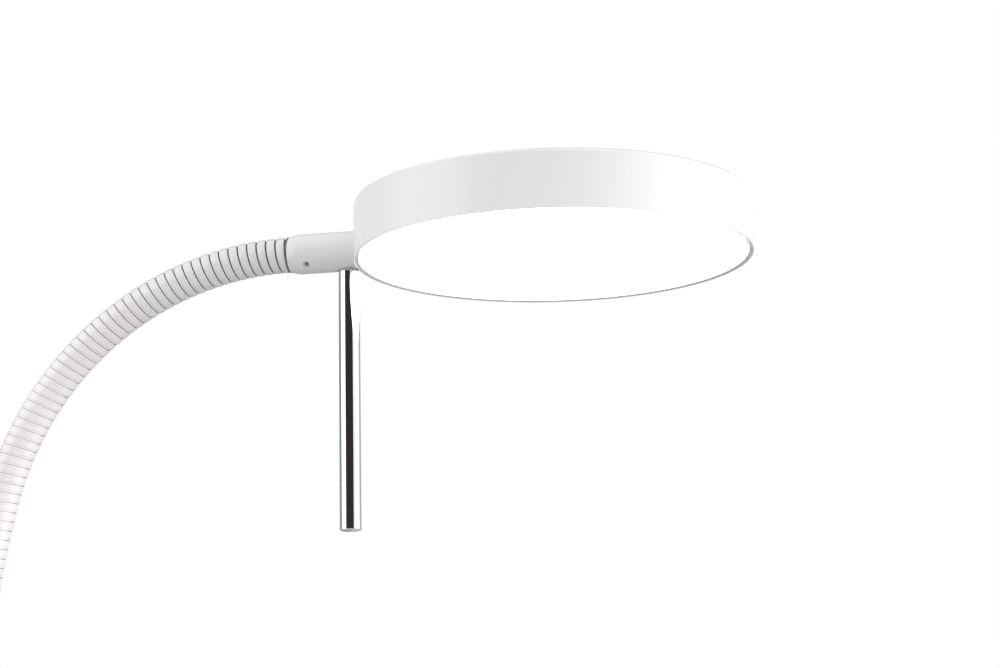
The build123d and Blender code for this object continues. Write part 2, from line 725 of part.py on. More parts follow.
def base_housing():
    """White base shell: a round case for the driver, with a collar for the neck."""
    with BuildPart() as housing:
        with BuildSketch(Plane.XY.offset(COVER_THICKNESS)) as case:
            Circle(BASE_RADIUS)
        extrude(case.sketch, amount=BASE_HEIGHT - COVER_THICKNESS)
        fillet(housing.edges().sort_by(Axis.Z)[-1], 6.0)
        with BuildSketch(Plane.XY.offset(BASE_HEIGHT - 1)) as collar:
            Circle(COLLAR_RADIUS)
        extrude(collar.sketch, amount=COLLAR_TOP - BASE_HEIGHT + 1)
        root = housing.edges().filter_by(GeomType.CIRCLE).group_by(Axis.Z)[-2]
        fillet(root.filter_by(lambda e: abs(e.radius - COLLAR_RADIUS) < 0.01), 3.5)
        chamfer(housing.edges().sort_by(Axis.Z)[-1], 1.0)
        with BuildSketch(FRONT) as pad:
            Circle(PAD_RADIUS)
        extrude(pad.sketch, amount=PAD_FACE)
        with BuildSketch(REAR) as gland_pad:
            Circle(GLAND_PAD_RADIUS)
        extrude(gland_pad.sketch, amount=GLAND_PAD)
        with BuildSketch(Plane.XY.offset(COVER_THICKNESS)) as cavity:
            Circle(BASE_INNER)
        extrude(cavity.sketch, amount=BASE_HEIGHT - 5 - COVER_THICKNESS, mode=Mode.SUBTRACT)
        board_rails()
        screw_posts()
        cut_round(Plane.XY.offset(BASE_HEIGHT - 6), CABLE_HOLE, 20)
        plug_seat = COLLAR_TOP - PLUG_LENGTH - 0.3
        cut_round(Plane.XY.offset(plug_seat), PLUG_RADIUS + FIT, 30)
        cut_round(LOWER_GRUB_PLANE, GRUB_RADIUS, 20)
        cut_round(FRONT.offset(10), BEZEL_RADIUS + FIT, 20)
        cut_round(REAR.offset(10), GLAND_THREAD + FIT, 20)
    save(housing, "base_housing")


def board_rails():
    """Adds the two slotted rails in which the driver board stands."""
    for side in (-1, 1):
        with BuildSketch(Plane.XY.offset(BOARD_FOOT - 2)) as rail:
            with Locations((side * (BOARD_WIDTH / 2 + 0.7), BOARD_FACE + 0.8)):
                Rectangle(4.4, 5.6)
            Circle(BASE_INNER + 0.3, mode=Mode.INTERSECT)
            with Locations((side * (BOARD_WIDTH / 2 - 0.9), BOARD_FACE + 0.8)):
                Rectangle(2.2, 1.8, mode=Mode.SUBTRACT)
        extrude(rail.sketch, amount=BOARD_HEIGHT + 4)


def screw_posts():
    """Adds the three posts for the cover's screws, with their tapped holes."""
    with BuildSketch(Plane.XY.offset(REGISTER_TOP + 0.2)) as posts:
        with PolarLocations(COVER_SCREW_CIRCLE, 3):
            Circle(3.4)
        Circle(BASE_INNER + 0.3, mode=Mode.INTERSECT)
    extrude(posts.sketch, amount=14)
    with BuildSketch(Plane.XY.offset(REGISTER_TOP)) as holes:
        with PolarLocations(COVER_SCREW_CIRCLE, 3):
            Circle(SCREW_RADIUS)
    extrude(holes.sketch, amount=12, mode=Mode.SUBTRACT)


def base_cover():
    """Bottom cover with a register for the case and a hole for the spigot's stud."""
    with BuildPart() as cover:
        with BuildSketch(Plane.XY) as disc:
            Circle(BASE_RADIUS)
        extrude(disc.sketch, amount=COVER_THICKNESS - TOUCH)
        chamfer(cover.edges().sort_by(Axis.Z)[0], 1.0)
        with BuildSketch(Plane.XY.offset(COVER_THICKNESS - 1)) as register:
            Circle(BASE_INNER - 0.1)
        extrude(register.sketch, amount=REGISTER_TOP - COVER_THICKNESS + 1)
        cut_round(Plane.XY.offset(-1), STUD_THREAD + 0.1, 20)
        with Locations(Plane(origin=(0, 0, 0), x_dir=(1, 0, 0), z_dir=(0, 0, -1))):
            with PolarLocations(COVER_SCREW_CIRCLE, 3):
                CounterSinkHole(SCREW_RADIUS + 0.1, 3.2, counter_sink_angle=90)
    save(cover, "base_cover")


def cover_screws():
    """Three countersunk screws that hold the cover."""
    with BuildPart() as screws:
        with BuildSketch(Plane.XZ) as outline:
            with BuildLine():
                Polyline(
                    (0, 0.15),
                    (2.9, 0.15),
                    (SCREW_RADIUS - TOUCH, 1.57),
                    (SCREW_RADIUS - TOUCH, 18),
                    (0, 18),
                    close=True,
                )
            make_face()
        single = revolve(outline.sketch, axis=Axis.Z, mode=Mode.PRIVATE)
        with PolarLocations(COVER_SCREW_CIRCLE, 3):
            add(single)
        with BuildSketch(Plane.XY) as keys:
            with PolarLocations(COVER_SCREW_CIRCLE, 3):
                RegularPolygon(1.1, 6)
        extrude(keys.sketch, amount=1.3, mode=Mode.SUBTRACT)
    save(screws, "cover_screws")


def spigot():
    """Steel mounting pin, with a threaded stud through the cover."""
    with BuildPart() as pin:
        turned(
            BASE_SECTION,
            Axis.Z,
            [
                (0, -SPIGOT_LENGTH),
                (SPIGOT_RADIUS - 1, -SPIGOT_LENGTH),
                (SPIGOT_RADIUS, -SPIGOT_LENGTH + 1),
                (SPIGOT_RADIUS, 0),
                (STUD_THREAD, 0),
                (STUD_THREAD, STUD_LENGTH - 0.8),
                (STUD_THREAD - 0.8, STUD_LENGTH),
                (0, STUD_LENGTH),
            ],
        )
    save(pin, "spigot")


def spigot_nut():
    """Nut on the spigot's stud, on top of the cover."""
    with BuildPart() as nut:
        with BuildSketch(Plane.XY.offset(REGISTER_TOP + TOUCH)) as hexagon:
            RegularPolygon(NUT_FLATS, 6, major_radius=False)
            Circle(STUD_THREAD + TOUCH, mode=Mode.SUBTRACT)
        extrude(hexagon.sketch, amount=6)
    save(nut, "spigot_nut")


def driver_board():
    """Circuit board of the LED driver, standing in the case's rails."""
    with BuildPart() as board:
        with BuildSketch(Plane.XY.offset(BOARD_FOOT)) as edge:
            with Locations((0, BOARD_FACE + 0.8)):
                Rectangle(BOARD_WIDTH, 1.5)
        extrude(edge.sketch, amount=BOARD_HEIGHT)
    save(board, "driver_board")


def driver_components():
    """Choke, two capacitors and the control chip on the back of the driver board."""
    back = Plane((0, BOARD_FACE + 1.57, 0), x_dir=(-1, 0, 0), z_dir=(0, 1, 0))
    with BuildPart() as components:
        with BuildSketch(back) as choke:
            with Locations((0, 74)):
                RectangleRounded(16, 14, 2)
        extrude(choke.sketch, amount=9)
        with BuildSketch(back) as capacitors:
            with Locations((-6, 55), (6, 55)):
                Circle(4.5)
        extrude(capacitors.sketch, amount=10)
        with BuildSketch(back) as chip:
            with Locations((0, 41)):
                Rectangle(8, 6)
        extrude(chip.sketch, amount=1.5)
    save(components, "driver_components")


def terminal_block():
    """Terminal block on the front of the driver board, into which the lamp cable runs."""
    with BuildPart() as block:
        with BuildSketch(Plane.XY.offset(TERMINAL_FOOT)) as outline:
            with Locations((0, (BOARD_FACE - 5) / 2)):
                Rectangle(12, BOARD_FACE + 5)
        extrude(outline.sketch, amount=TERMINAL_HEIGHT)
        cut_round(Plane.XY.offset(CABLE_FOOT), CABLE_RADIUS + FIT, TERMINAL_HEIGHT)
    save(block, "terminal_block")


def base_cable():
    """Cable from the neck down to the terminal block."""
    with BuildPart() as cable:
        with BuildSketch(Plane.XY.offset(CABLE_FOOT + TOUCH)) as core:
            Circle(CABLE_RADIUS)
        extrude(core.sketch, amount=NECK_FOOT - CABLE_FOOT - 2 * TOUCH)
    save(cable, "base_cable")


def switch_body():
    """Dimming switch on the driver board, with a well for the button's stem."""
    with BuildPart() as body:
        with BuildSketch(FRONT.offset(-BOARD_FACE + TOUCH)) as outline:
            RectangleRounded(12, 12, 1)
        extrude(outline.sketch, amount=SWITCH_FACE + BOARD_FACE - TOUCH)
        cut_round(FRONT.offset(WELL_FLOOR), STEM_RADIUS + 0.3, 10)
    save(body, "switch_body")


def switch_bezel():
    """Ring in the case's wall that guides the button."""
    with BuildPart() as bezel:
        with BuildSketch(FRONT.offset(SLEEVE_DEPTH)) as sleeve:
            Circle(BEZEL_RADIUS)
        extrude(sleeve.sketch, amount=PAD_FACE - SLEEVE_DEPTH + BEZEL_FLANGE / 2)
        with BuildSketch(FRONT.offset(PAD_FACE + TOUCH / 2)) as flange:
            Circle(BEZEL_FLANGE_RADIUS)
        extrude(flange.sketch, amount=BEZEL_FLANGE)
        chamfer(bezel.edges().sort_by(Axis.Y)[0], 0.4)
        cut_round(FRONT.offset(SLEEVE_DEPTH - 1), BUTTON_RADIUS + 0.3, 20)
    save(bezel, "switch_bezel")


def switch_button():
    """Button cap with a dished face, and the stem that works the switch."""
    dish_radius = 30.0
    dish_depth = 0.5
    cap_foot = SLEEVE_DEPTH + 0.5
    cap_face = PAD_FACE + BEZEL_FLANGE + BUTTON_TRAVEL + 0.2
    stem_tip = WELL_FLOOR + BUTTON_TRAVEL + 0.7
    with BuildPart() as button:
        with BuildSketch(FRONT.offset(cap_foot)) as cap:
            Circle(BUTTON_RADIUS)
        extrude(cap.sketch, amount=cap_face - cap_foot)
        fillet(button.edges().sort_by(Axis.Y)[0], 0.6)
        with BuildSketch(FRONT.offset(stem_tip)) as stem:
            Circle(STEM_RADIUS)
        extrude(stem.sketch, amount=cap_foot + 1 - stem_tip)
        with Locations((0, -cap_face - dish_radius + dish_depth, BUTTON_HEIGHT)):
            Sphere(dish_radius, mode=Mode.SUBTRACT)
    save(button, "switch_button")


def gland_body():
    """Cable gland: hexagon outside the case, thread through its wall."""
    with BuildPart() as gland:
        with BuildSketch(REAR.offset(GLAND_PAD + TOUCH)) as hexagon:
            RegularPolygon(NUT_FLATS, 6, major_radius=False)
        extrude(hexagon.sketch, amount=GLAND_HEX)
        with BuildSketch(REAR.offset(15)) as thread:
            Circle(GLAND_THREAD)
        extrude(thread.sketch, amount=GLAND_PAD - 15 + 1)
        cut_round(REAR.offset(10), LEAD_BORE, 40)
    save(gland, "gland_body")


def gland_cap():
    """Domed clamping cap of the cable gland."""
    foot = GLAND_PAD + GLAND_HEX + 2 * TOUCH
    with BuildPart() as cap:
        with BuildSketch(REAR.offset(foot)) as outline:
            Circle(7.6)
        extrude(outline.sketch, amount=12)
        fillet(cap.edges().sort_by(Axis.X)[0], 3.6)
        with BuildSketch(REAR.offset(foot)) as flutes:
            with PolarLocations(8.6, 12):
                Circle(1.4)
        extrude(flutes.sketch, amount=7, mode=Mode.SUBTRACT)
        cut_round(REAR.offset(foot - 1), LEAD_BORE, 20)
    save(cap, "gland_cap")


def gland_locknut():
    """Locknut of the cable gland, inside the case."""
    with BuildPart() as nut:
        with BuildSketch(REAR.offset(18.0)) as hexagon:
            RegularPolygon(NUT_FLATS, 6, major_radius=False)
            Circle(GLAND_THREAD + TOUCH, mode=Mode.SUBTRACT)
        extrude(hexagon.sketch, amount=-2.6)
    save(nut, "gland_locknut")


# ---------------------------------------------------------------- build
def main():
    os.makedirs("parts", exist_ok=True)
    for number in range(1, JOINT_COUNT + 2):
        neck_segment(number)
        neck_cable(number)
    upper_neck_plug()
    lower_neck_plug()
    grub_screw(GRUB_PLANE, SOCKET_RADIUS - 0.4, PLUG_RADIUS + 0.3, GROOVE_RADIUS + 0.3, "upper_grub_screw")
    lower_tip = PLUG_RADIUS + TOUCH
    grub_screw(LOWER_GRUB_PLANE, COLLAR_RADIUS - 0.4, lower_tip, lower_tip, "lower_grub_screw")
    head_socket()
    socket_bolt()
    socket_washer()
    handle_rod()
    handle_stud()
    head_housing()
    heat_spreader()
    led_board()
    led_chips()
    board_face = HEAD_PLANE.offset(BOARD_TOP - BOARD_THICKNESS)
    pan_screws(board_face, BOSS_CIRCLE, BOSS_COUNT, 0, 5.2, "board_screws")
    board_connector()
    head_cable()
    reflector()
    diffuser_carrier()
    lug_face = HEAD_PLANE.offset(CARRIER_TOP - LUG_THICKNESS - TOUCH)
    pan_screws(lug_face, POST_CIRCLE, 4, 45, 12, "carrier_screws")
    diffuser()
    diffuser_seal()
    base_housing()
    base_cover()
    cover_screws()
    spigot()
    spigot_nut()
    driver_board()
    driver_components()
    terminal_block()
    base_cable()
    switch_body()
    switch_bezel()
    switch_button()
    gland_body()
    gland_cap()
    gland_locknut()
    print(f"head centre x {HEAD_X:.2f}, rim z {HEAD_Z:.2f}, socket axis z {AXIS_Z:.2f}")
    for number in range(1, JOINT_COUNT + 1):
        s = joint_station(number)
        x, _, z = neck_point(s)
        print(f"joint {number:2d}: x {x:.4f} z {z:.4f} turn {degrees(neck_turn(s)):.4f}")


main()
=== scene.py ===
"""Looks of the examination lamp.

Materials for every piece, a strip-wound skin for the gooseneck, and the studio around the lamp.
"""

import math

import bmesh
import bpy
from mathutils import Euler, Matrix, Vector


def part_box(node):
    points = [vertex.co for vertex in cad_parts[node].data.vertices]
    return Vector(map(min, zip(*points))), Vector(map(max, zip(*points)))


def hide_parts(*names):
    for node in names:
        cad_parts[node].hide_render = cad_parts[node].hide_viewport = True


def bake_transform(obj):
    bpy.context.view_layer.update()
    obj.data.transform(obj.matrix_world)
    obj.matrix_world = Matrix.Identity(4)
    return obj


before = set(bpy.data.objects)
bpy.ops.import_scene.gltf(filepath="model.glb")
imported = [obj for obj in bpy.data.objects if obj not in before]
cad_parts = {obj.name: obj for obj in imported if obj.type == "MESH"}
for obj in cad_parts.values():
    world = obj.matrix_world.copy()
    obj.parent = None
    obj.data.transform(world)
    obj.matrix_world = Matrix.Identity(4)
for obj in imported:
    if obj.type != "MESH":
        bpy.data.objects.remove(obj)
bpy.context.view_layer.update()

# ---------------------------------------------------------------- places, from the frame
HEAD_LOW, HEAD_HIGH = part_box("head_housing")
HEAD_CENTRE = Vector(((HEAD_LOW.x + HEAD_HIGH.x) / 2, 0, HEAD_LOW.z))
NECK_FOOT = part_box("neck_segment_01")[0].z
FLOOR_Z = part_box("spigot")[0].z

# ---------------------------------------------------------------- gooseneck, in metres and radians
# The neck is straight at its foot, then bends in the XZ plane over a wide arc and a tighter one.
NECK_LENGTH = 0.5
LOWER_BEND_RADIUS = 0.5
LOWER_BEND_TURN = math.radians(15)
UPPER_BEND_RADIUS = 0.174
UPPER_BEND_TURN = math.radians(75)
NECK_RADIUS = 0.010
BORE_RADIUS = 0.0062
BORE_CUTS = 4  # rings of edges inside the bore of one piece, so that it can bend
STRIP_PITCH = 0.0054
STRIP_PHASE = 0.00460  # arc length at which a groove's middle crosses the inside of the bend
GROOVE_DEPTH = 0.0009
COLUMNS = 56  # round the tube
SPARE_TURNS = 2  # of the strip, made beyond each end of a piece and cut off
STRIP, GROOVE, SCORE = 0, 1, 2  # the material slots of the gooseneck's pieces
# Across one turn of the strip: distance from the nearest groove's middle, and the share of its depth there.
# Two fine score lines run along each turn, and its far half is a little lower, where it laps the next one.
STRIP_PROFILE = (
    (0.00024, 1.0),
    (0.00044, 0.96),
    (0.00048, 0.46),
    (0.00060, 0.28),
    (0.00086, 0.13),
    (0.00122, 0.04),
    (0.00132, 0.12),
    (0.00142, 0.02),
    (0.00220, 0.0),
    (-0.00212, 0.05),
    (-0.00152, 0.07),
    (-0.00142, 0.16),
    (-0.00132, 0.09),
    (-0.00086, 0.15),
    (-0.00060, 0.28),
    (-0.00048, 0.46),
    (-0.00044, 0.96),
    (-0.00024, 1.0),
)
GROOVE_EDGE = 0.001  # rows nearer to the groove than this move in where the groove is narrower
GROOVE_FLOOR = 0.9  # rows deeper than this share of the groove's depth are its bottom
SCORE_SPAN = (0.0012, 0.0016)  # distances from the groove between which the score lines lie
OPEN_AT_FOOT = 0.35  # the groove is this much of its width and depth at the neck's foot
OPENING_POWER = 3  # how late along the neck the groove opens
SHARP_ANGLE = math.radians(50)
CUT_TOLERANCE = 1e-7
END_TOLERANCE = 1e-6
PIECE_COUNT = 11  # one for each joint of the neck


def centreline(s):
    """Point of the neck's centreline at arc length s, and its angle from the vertical."""
    straight = NECK_LENGTH - UPPER_BEND_RADIUS * UPPER_BEND_TURN - LOWER_BEND_RADIUS * LOWER_BEND_TURN
    x, z, turn = 0.0, NECK_FOOT + min(s, straight), 0.0
    left = s - straight
    # The upper bend is the last, so it goes on for as long as s does.
    for radius, most in ((LOWER_BEND_RADIUS, LOWER_BEND_TURN), (UPPER_BEND_RADIUS, math.pi)):
        if left <= 0:
            break
        step = min(left / radius, most)
        x += radius * (math.cos(turn) - math.cos(turn + step))
        z += radius * (math.sin(turn + step) - math.sin(turn))
        turn += step
        left -= step * radius
    return Vector((x, 0, z)), turn


def onto_neck(point):
    """Where a point of the straight tube along Z goes on the bent neck."""
    centre, turn = centreline(point.z)
    across = Vector((math.cos(turn), 0, -math.sin(turn)))
    return centre + across * point.x + Vector((0, point.y, 0))


def groove_opening(s):
    """Share of the groove's size at arc length s: full at the head, and less towards the neck's foot."""
    share = min(max(s / NECK_LENGTH, 0), 1)
    return OPEN_AT_FOOT + (1 - OPEN_AT_FOOT) * share**OPENING_POWER


def strip_tube(low, high):
    """Open bmesh of a straight strip-wound tube along Z, with its faces' materials set."""
    bm = bmesh.new()
    first = math.floor(low / STRIP_PITCH) - SPARE_TURNS
    last = math.ceil(high / STRIP_PITCH) + SPARE_TURNS
    grid = []
    for turn in range(first, last):
        for distance, depth in STRIP_PROFILE:
            groove = turn if distance > 0 else turn + 1
            ring = []
            for column in range(COLUMNS):
                angle = 2 * math.pi * column / COLUMNS
                middle = STRIP_PITCH * (groove + column / COLUMNS) + STRIP_PHASE
                opening = groove_opening(middle)
                radius = NECK_RADIUS - depth * GROOVE_DEPTH * opening
                if abs(distance) > GROOVE_EDGE:
                    opening = 1.0
                point = (radius * math.cos(angle), radius * math.sin(angle), middle + distance * opening)
                ring.append(bm.verts.new(point))
            grid.append(ring)
    per_turn = len(STRIP_PROFILE)
    for index in range(len(grid) - 1):
        rows = (STRIP_PROFILE[index % per_turn], STRIP_PROFILE[(index + 1) % per_turn])
        kind = STRIP
        if min(depth for _, depth in rows) > GROOVE_FLOOR:
            kind = GROOVE
        elif all(SCORE_SPAN[0] < abs(distance) < SCORE_SPAN[1] for distance, _ in rows):
            kind = SCORE
        for column in range(COLUMNS):
            here, above = grid[index], grid[index + 1]
            if column < COLUMNS - 1:
                corners = (here[column], here[column + 1], above[column + 1], above[column])
            elif index + 1 + per_turn < len(grid):
                next_here, next_above = grid[index + per_turn], grid[index + per_turn + 1]
                corners = (here[column], next_here[0], next_above[0], above[column])
            else:
                continue
            face = bm.faces.new(corners)
            face.material_index = kind
            face.smooth = True
    for z, upward in ((low, False), (high, True)):
        everything = bm.verts[:] + bm.edges[:] + bm.faces[:]
        bmesh.ops.bisect_plane(
            bm,
            geom=everything,
            dist=CUT_TOLERANCE,
            plane_co=(0, 0, z),
            plane_no=(0, 0, 1),
            clear_outer=upward,
            clear_inner=not upward,
        )
    return bm


def close_tube(bm, low, high):
    """Turns the open tube into a wall with flat ends and a plain bore."""
    inner_edges = []
    for z in (low, high):
        rim = [
            edge
            for edge in bm.edges
            if edge.is_boundary and all(abs(vert.co.z - z) < END_TOLERANCE for vert in edge.verts)
        ]
        made = bmesh.ops.extrude_edge_only(bm, edges=rim)["geom"]
        for vert in (g for g in made if isinstance(g, bmesh.types.BMVert)):
            scale = BORE_RADIUS / math.hypot(vert.co.x, vert.co.y)
            vert.co = Vector((vert.co.x * scale, vert.co.y * scale, vert.co.z))
        inner_edges += [g for g in made if isinstance(g, bmesh.types.BMEdge) and g.is_boundary]
    bridge = bmesh.ops.bridge_loops(bm, edges=inner_edges)["edges"]
    bmesh.ops.subdivide_edges(bm, edges=bridge, cuts=BORE_CUTS)
    bmesh.ops.recalc_face_normals(bm, faces=bm.faces[:])


def mark_sharp(bm):
    """Marks the edges that turn by more than SHARP_ANGLE as sharp."""
    for edge in bm.edges:
        if len(edge.link_faces) == 2 and edge.calc_face_angle(0) > SHARP_ANGLE:
            edge.smooth = False


def add_object(name, bm, materials):
    """Makes a named object of a bmesh, with its materials."""
    mesh = bpy.data.meshes.new(name)
    bm.to_mesh(mesh)
    bm.free()
    for material in materials:
        mesh.materials.append(material)
    piece = bpy.data.objects.new(name, mesh)
    bpy.context.collection.objects.link(piece)
    return piece


def gooseneck(strip, groove, score):
    """The neck's skin: one piece across each joint, cut halfway along the links."""
    length = NECK_LENGTH / PIECE_COUNT
    for index in range(PIECE_COUNT):
        low, high = index * length, (index + 1) * length
        bm = strip_tube(low, high)
        close_tube(bm, low, high)
        for vert in bm.verts:
            vert.co = onto_neck(vert.co)
        mark_sharp(bm)
        piece = add_object(f"gooseneck_{index + 1:02d}", bm, (strip, groove, score))
        start, end = centreline(low)[0], centreline(high)[0]
        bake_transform(piece)
        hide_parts(f"neck_segment_{index + 1:02d}")
        if index == PIECE_COUNT - 1:
            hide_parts(f"neck_segment_{index + 2:02d}")


# ---------------------------------------------------------------- material helpers
NOISE_SPAN = (0.3, 0.7)  # the values that most of a noise lies between
PATCH_SPAN = (0.35, 0.65)  # a narrower span, which gives the patches of wear harder edges
EDGE_LEAN = (0.995, 0.93)  # cosines between which a leaning normal goes from no edge to a full edge
RIM_LIP = 0.0006  # width of the lower face of the drum's wall, outside its bevel
RIM_DEPTH = 0.003  # height of the rim's painted shade, which then fades over as much again
LIP_BLUR = 0.0001  # distance over which that painted shade starts at the lip


def new_material(name, colour, roughness, metallic=0.0):
    """A material with one Principled shader, as (material, its shader)."""
    material = bpy.data.materials.new(name)
    material.use_nodes = True
    shader = material.node_tree.nodes["Principled BSDF"]
    shader.inputs["Base Color"].default_value = (*colour, 1)
    shader.inputs["Roughness"].default_value = roughness
    shader.inputs["Metallic"].default_value = metallic
    return material, shader


def coordinates(material, stretch=(1, 1, 1)):
    """Object coordinates, scaled along each axis."""
    nodes, links = material.node_tree.nodes, material.node_tree.links
    source = nodes.new("ShaderNodeTexCoord")
    mapping = nodes.new("ShaderNodeMapping")
    mapping.inputs["Scale"].default_value = stretch
    links.new(source.outputs["Object"], mapping.inputs["Vector"])
    return mapping.outputs["Vector"]


def position_along(material, axis):
    """Position in metres along one axis, in the piece's own coordinates: at rest, the shared frame's."""
    node = material.node_tree.nodes.new("ShaderNodeSeparateXYZ")
    material.node_tree.links.new(coordinates(material), node.inputs["Vector"])
    return node.outputs[axis]


def noise(material, scale, detail, stretch=(1, 1, 1)):
    """Noise of that scale, in cells per metre, as a value from 0 to 1."""
    node = material.node_tree.nodes.new("ShaderNodeTexNoise")
    node.inputs["Scale"].default_value = scale
    node.inputs["Detail"].default_value = detail
    material.node_tree.links.new(coordinates(material, stretch), node.inputs["Vector"])
    return node.outputs["Fac"]


def remap(material, value, low, high, span=NOISE_SPAN):
    """value mapped from a span, which may run downwards, to low..high, and held there beyond it."""
    node = material.node_tree.nodes.new("ShaderNodeMapRange")
    node.inputs["From Min"].default_value = span[0]
    node.inputs["From Max"].default_value = span[1]
    node.inputs["To Min"].default_value = low
    node.inputs["To Max"].default_value = high
    material.node_tree.links.new(value, node.inputs["Value"])
    return node.outputs["Result"]


def larger(material, first, second):
    """The larger of two values."""
    node = material.node_tree.nodes.new("ShaderNodeMath")
    node.operation = "MAXIMUM"
    material.node_tree.links.new(first, node.inputs[0])
    material.node_tree.links.new(second, node.inputs[1])
    return node.outputs["Value"]


def edges(material, radius):
    """1 along the piece's edges and 0 away from them.

    It comes from how far a normal that is rounded over the radius leans from the plain one.
    """
    nodes, links = material.node_tree.nodes, material.node_tree.links
    rounded = nodes.new("ShaderNodeBevel")
    rounded.inputs["Radius"].default_value = radius
    plain = nodes.new("ShaderNodeNewGeometry")
    product = nodes.new("ShaderNodeVectorMath")
    product.operation = "DOT_PRODUCT"
    links.new(rounded.outputs["Normal"], product.inputs[0])
    links.new(plain.outputs["Normal"], product.inputs[1])
    return remap(material, product.outputs["Value"], 0, 1, EDGE_LEAN)


def wear_edges(material, shader, radius, colour, patch_scale):
    """Blends the base colour to another along the edges, in patches."""
    patches = remap(material, noise(material, patch_scale, detail=4), 0, 1, PATCH_SPAN)
    worn = material.node_tree.nodes.new("ShaderNodeMath")
    worn.operation = "MULTIPLY"
    links = material.node_tree.links
    links.new(edges(material, radius), worn.inputs[0])
    links.new(patches, worn.inputs[1])
    base = shader.inputs["Base Color"]
    links.new(mix_colours(material, worn.outputs["Value"], base.links[0].from_socket, colour), base)


def mix_colours(material, factor, first, second):
    """A colour between two, by a factor from 0 to 1. Each colour is a triple or another node's output."""
    node = material.node_tree.nodes.new("ShaderNodeMix")
    node.data_type = "RGBA"
    links = material.node_tree.links
    links.new(factor, node.inputs["Factor"])
    for name, colour in (("A", first), ("B", second)):
        socket = next(s for s in node.inputs if s.name == name and s.type == "RGBA")
        if isinstance(colour, tuple):
            socket.default_value = (*colour, 1)
        else:
            links.new(colour, socket)
    return next(s for s in node.outputs if s.type == "RGBA")


def paint(material, shader, value, first, second):
    """Sets the base colour to a blend of two colours by value."""
    material.node_tree.links.new(mix_colours(material, value, first, second), shader.inputs["Base Color"])


def vary_roughness(material, shader, value, low, high):
    """Sets the roughness from value, between low and high."""
    material.node_tree.links.new(remap(material, value, low, high), shader.inputs["Roughness"])


def add_clear_coat(shader, weight, roughness):
    """Adds a clear gloss layer over the shader."""
    shader.inputs["Coat Weight"].default_value = weight
    shader.inputs["Coat Roughness"].default_value = roughness


def add_bump(material, shader, height, strength, distance):
    """Adds relief from a height value, on top of any relief already there."""
    links = material.node_tree.links
    node = material.node_tree.nodes.new("ShaderNodeBump")
    node.inputs["Strength"].default_value = strength
    node.inputs["Distance"].default_value = distance
    links.new(height, node.inputs["Height"])
    normal = shader.inputs["Normal"]
    if normal.is_linked:
        links.new(normal.links[0].from_socket, node.inputs["Normal"])
    links.new(node.outputs["Normal"], normal)


def paint_rim_shade(material, shader, colour):
    """Paints shade inside the drum's rim: a darker base colour on its bevel and in the diffuser's rebate.
    """
    nodes, links = material.node_tree.nodes, material.node_tree.links
    from_axis = nodes.new("ShaderNodeMapping")
    from_axis.inputs["Location"].default_value = (-HEAD_CENTRE.x, 0, 0)
    from_axis.inputs["Scale"].default_value = (1, 1, 0)
    links.new(coordinates(material), from_axis.inputs["Vector"])
    radius = nodes.new("ShaderNodeVectorMath")
    radius.operation = "LENGTH"
    links.new(from_axis.outputs["Vector"], radius.inputs[0])
    lip = (HEAD_HIGH.x - HEAD_LOW.x) / 2 - RIM_LIP
    beyond = remap(material, radius.outputs["Value"], 0, 1, (lip - LIP_BLUR, lip))
    rim_top = HEAD_LOW.z + RIM_DEPTH
    above = remap(material, position_along(material, "Z"), 0, 1, (rim_top, rim_top + RIM_DEPTH))
    outside = larger(material, beyond, above)
    base = shader.inputs["Base Color"]
    links.new(mix_colours(material, outside, colour, base.links[0].from_socket), base)


# ---------------------------------------------------------------- materials
# Colour of the painted shade on the drum rim's bevel and rebate.
RIM_SHADE_TONE = (0.56, 0.51, 0.50)
EDGE_RADIUS = 0.0003  # of the worn edges of metal and plastic
COAT_EDGE_RADIUS = 0.0005  # of the worn edges of the powder coat
METAL_EDGE_LIFT = 0.25  # how much brighter metal is along its edges
BRIGHTEST_METAL_EDGE = 0.85
PLASTIC_EDGE_GAIN = 1.25  # how many times brighter plastic is along its edges, before its lift
PLASTIC_EDGE_LIFT = 0.02
PLASTIC_ROUGHNESS_SWING = 0.06
NECK_SHADE_FADE = (0.455, 0.53)  # heights over which the neck's painted shade goes from its lighter lower tones to its darker upper ones
GROOVE_SHADE_SIDES = (-0.0045, 0.0010)  # Y over which the groove's painted colour goes from the lit coat, at its front, to painted shade at its sides
# Painted shade along the neck: darker tones near the head, and darker score lines standing in for shade in
# their creases.
UPPER_STRIP_SHADED_TONES = ((0.75, 0.74, 0.73), (0.69, 0.68, 0.67))
LOWER_STRIP_LIT_TONES = ((0.83, 0.805, 0.80), (0.79, 0.75, 0.745))
UPPER_SCORE_SHADE_TONES = ((0.70, 0.69, 0.685), (0.60, 0.59, 0.585))
LOWER_SCORE_SHADE_TONES = ((0.72, 0.69, 0.69), (0.58, 0.54, 0.54))


def powder_coat(name, light, dark, worn):
    """Warm white powder coat: fine orange peel, slightly uneven tone and gloss, paler edges, and painted
    shade inside the drum's rim.
    """
    material, shader = new_material(name, light, roughness=0.42)
    paint(material, shader, noise(material, 18, detail=3), light, dark)
    wear_edges(material, shader, COAT_EDGE_RADIUS, worn, patch_scale=160)
    # Painted shade: a darker brown-grey inside the drum's rim.
    paint_rim_shade(material, shader, RIM_SHADE_TONE)
    vary_roughness(material, shader, noise(material, 260, detail=2), 0.30, 0.40)
    add_bump(material, shader, noise(material, 1500, detail=1), strength=0.30, distance=0.0002)
    add_bump(material, shader, noise(material, 420, detail=1), strength=0.16, distance=0.0003)
    add_clear_coat(shader, weight=0.3, roughness=0.15)
    return material


